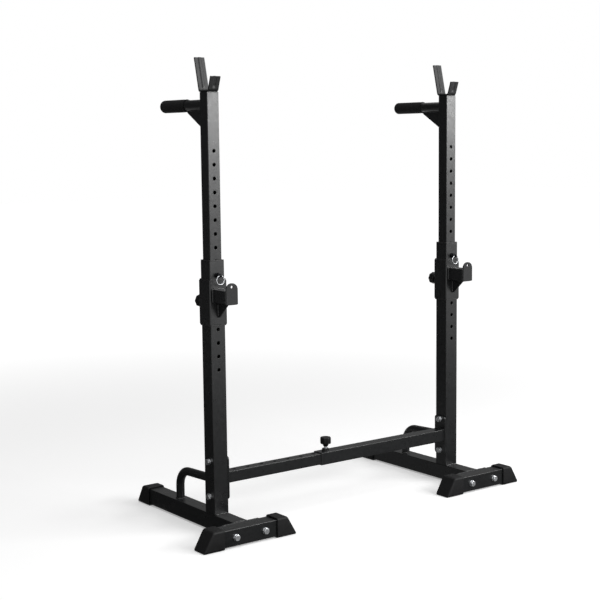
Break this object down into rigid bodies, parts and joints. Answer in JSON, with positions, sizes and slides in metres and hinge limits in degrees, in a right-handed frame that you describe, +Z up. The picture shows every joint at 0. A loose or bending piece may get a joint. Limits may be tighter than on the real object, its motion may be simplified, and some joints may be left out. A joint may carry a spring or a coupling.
{
  "type": "squat stand",
  "caption": "Telescoping upright stands on long feet, joined by a telescoping crossbar, with top cradles, sliding bar catches and rear dip handles.",
  "frame": {"origin": "on the floor, under the middle of the whole stand's box", "axes": "+X along the crossbar from the left stand to the right stand, +Y along the long feet towards the rear, +Z up the uprights"},
  "size_m": [1.263, 0.6144, 1.3988],
  "materials": {
    "powder_coat": "satin black powder coat on steel tube",
    "cap_rubber": "moulded matt black",
    "grip_foam": "matt black foam rubber",
    "guide_plastic": "moulded dark grey",
    "knob_plastic": "moulded satin black",
    "black_steel": "blackened",
    "zinc_steel": "bright zinc plate"
  },
  "bodies": {
    "left_stand": {"left_base_tube": "powder_coat", "left_base_flange": "powder_coat", "left_foot_tube": "powder_coat", "left_rear_cap": "cap_rubber", "left_foot_cap_left": "cap_rubber", "left_foot_cap_right": "cap_rubber", "left_foot_bolt_left": "zinc_steel", "left_foot_bolt_right": "zinc_steel", "left_lower_upright": "powder_coat", "left_upright_guide": "guide_plastic", "left_brace_tube": "powder_coat", "left_pin_housing": "zinc_steel", "left_bracket_plate": "powder_coat", "left_bracket_bolt_lower": "zinc_steel", "left_bracket_bolt_upper": "zinc_steel", "crossbar_inner_tube": "powder_coat"},
    "left_upper": {"left_upper_upright": "powder_coat", "left_top_cradle": "powder_coat", "left_dip_bar": "powder_coat", "left_dip_gusset": "powder_coat", "left_dip_grip": "grip_foam"},
    "left_slider": {"left_slider_sleeve": "powder_coat", "left_slider_liner": "guide_plastic", "left_catch_arm": "powder_coat", "left_catch_plate": "powder_coat", "left_catch_gusset": "powder_coat"},
    "left_pin": {"left_pull_pin": "black_steel"},
    "left_ring": {"left_pull_ring": "zinc_steel"},
    "left_knob": {"left_slider_knob": "knob_plastic"},
    "right_stand": {"right_base_tube": "powder_coat", "right_base_flange": "powder_coat", "right_foot_tube": "powder_coat", "right_rear_cap": "cap_rubber", "right_foot_cap_left": "cap_rubber", "right_foot_cap_right": "cap_rubber", "right_foot_bolt_left": "zinc_steel", "right_foot_bolt_right": "zinc_steel", "right_lower_upright": "powder_coat", "right_upright_guide": "guide_plastic", "right_brace_tube": "powder_coat", "right_pin_housing": "zinc_steel", "right_bracket_plate": "powder_coat", "right_bracket_bolt_lower": "zinc_steel", "right_bracket_bolt_upper": "zinc_steel", "crossbar_outer_tube": "powder_coat", "crossbar_lock_boss": "knob_plastic"},
    "right_upper": {"right_upper_upright": "powder_coat", "right_top_cradle": "powder_coat", "right_dip_bar": "powder_coat", "right_dip_gusset": "powder_coat", "right_dip_grip": "grip_foam"},
    "right_slider": {"right_slider_sleeve": "powder_coat", "right_slider_liner": "guide_plastic", "right_catch_arm": "powder_coat", "right_catch_plate": "powder_coat", "right_catch_gusset": "powder_coat"},
    "right_pin": {"right_pull_pin": "black_steel"},
    "right_ring": {"right_pull_ring": "zinc_steel"},
    "right_knob": {"right_slider_knob": "knob_plastic"},
    "crossbar_lock": {"crossbar_lock_knob": "knob_plastic"}
  },
  "joints": [
    {"name": "crossbar_width", "type": "slide", "parent": "left_stand", "child": "right_stand", "axis": [1, 0, 0], "range_m": [-0.25, 0.05]},
    {"name": "crossbar_lock_pull", "type": "slide", "parent": "right_stand", "child": "crossbar_lock", "axis": [0, 0, 1], "range_m": [0, 0.01], "stiffness_N_per_m": 1000, "springref_m": -0.01},
    {"name": "left_height", "type": "slide", "parent": "left_stand", "child": "left_upper", "axis": [0, 0, 1], "range_m": [-0.36, 0.12]},
    {"name": "left_catch_slide", "type": "slide", "parent": "left_stand", "child": "left_slider", "axis": [0, 0, 1], "range_m": [-0.36, 0]},
    {"name": "left_pin_pull", "type": "slide", "parent": "left_stand", "child": "left_pin", "axis": [0, -1, 0], "range_m": [0, 0.01], "stiffness_N_per_m": 1000, "springref_m": -0.01},
    {"name": "left_ring_swing", "type": "hinge", "parent": "left_pin", "child": "left_ring", "pos_m": [-0.4675, -0.16315, 0.77], "axis": [-1, 0, 0], "range_deg": [0, 90]},
    {"name": "left_knob_turn", "type": "hinge", "parent": "left_slider", "child": "left_knob", "pos_m": [-0.4675, -0.09605, 0.688], "axis": [0, -1, 0], "range_deg": [0, 720]},
    {"name": "right_height", "type": "slide", "parent": "right_stand", "child": "right_upper", "axis": [0, 0, 1], "range_m": [-0.36, 0.12]},
    {"name": "right_catch_slide", "type": "slide", "parent": "right_stand", "child": "right_slider", "axis": [0, 0, 1], "range_m": [-0.36, 0]},
    {"name": "right_pin_pull", "type": "slide", "parent": "right_stand", "child": "right_pin", "axis": [0, -1, 0], "range_m": [0, 0.01], "stiffness_N_per_m": 1000, "springref_m": -0.01},
    {"name": "right_ring_swing", "type": "hinge", "parent": "right_pin", "child": "right_ring", "pos_m": [0.4675, -0.16315, 0.77], "axis": [-1, 0, 0], "range_deg": [0, 90]},
    {"name": "right_knob_turn", "type": "hinge", "parent": "right_slider", "child": "right_knob", "pos_m": [0.4675, -0.09605, 0.688], "axis": [0, -1, 0], "range_deg": [0, 720]}
  ]
}
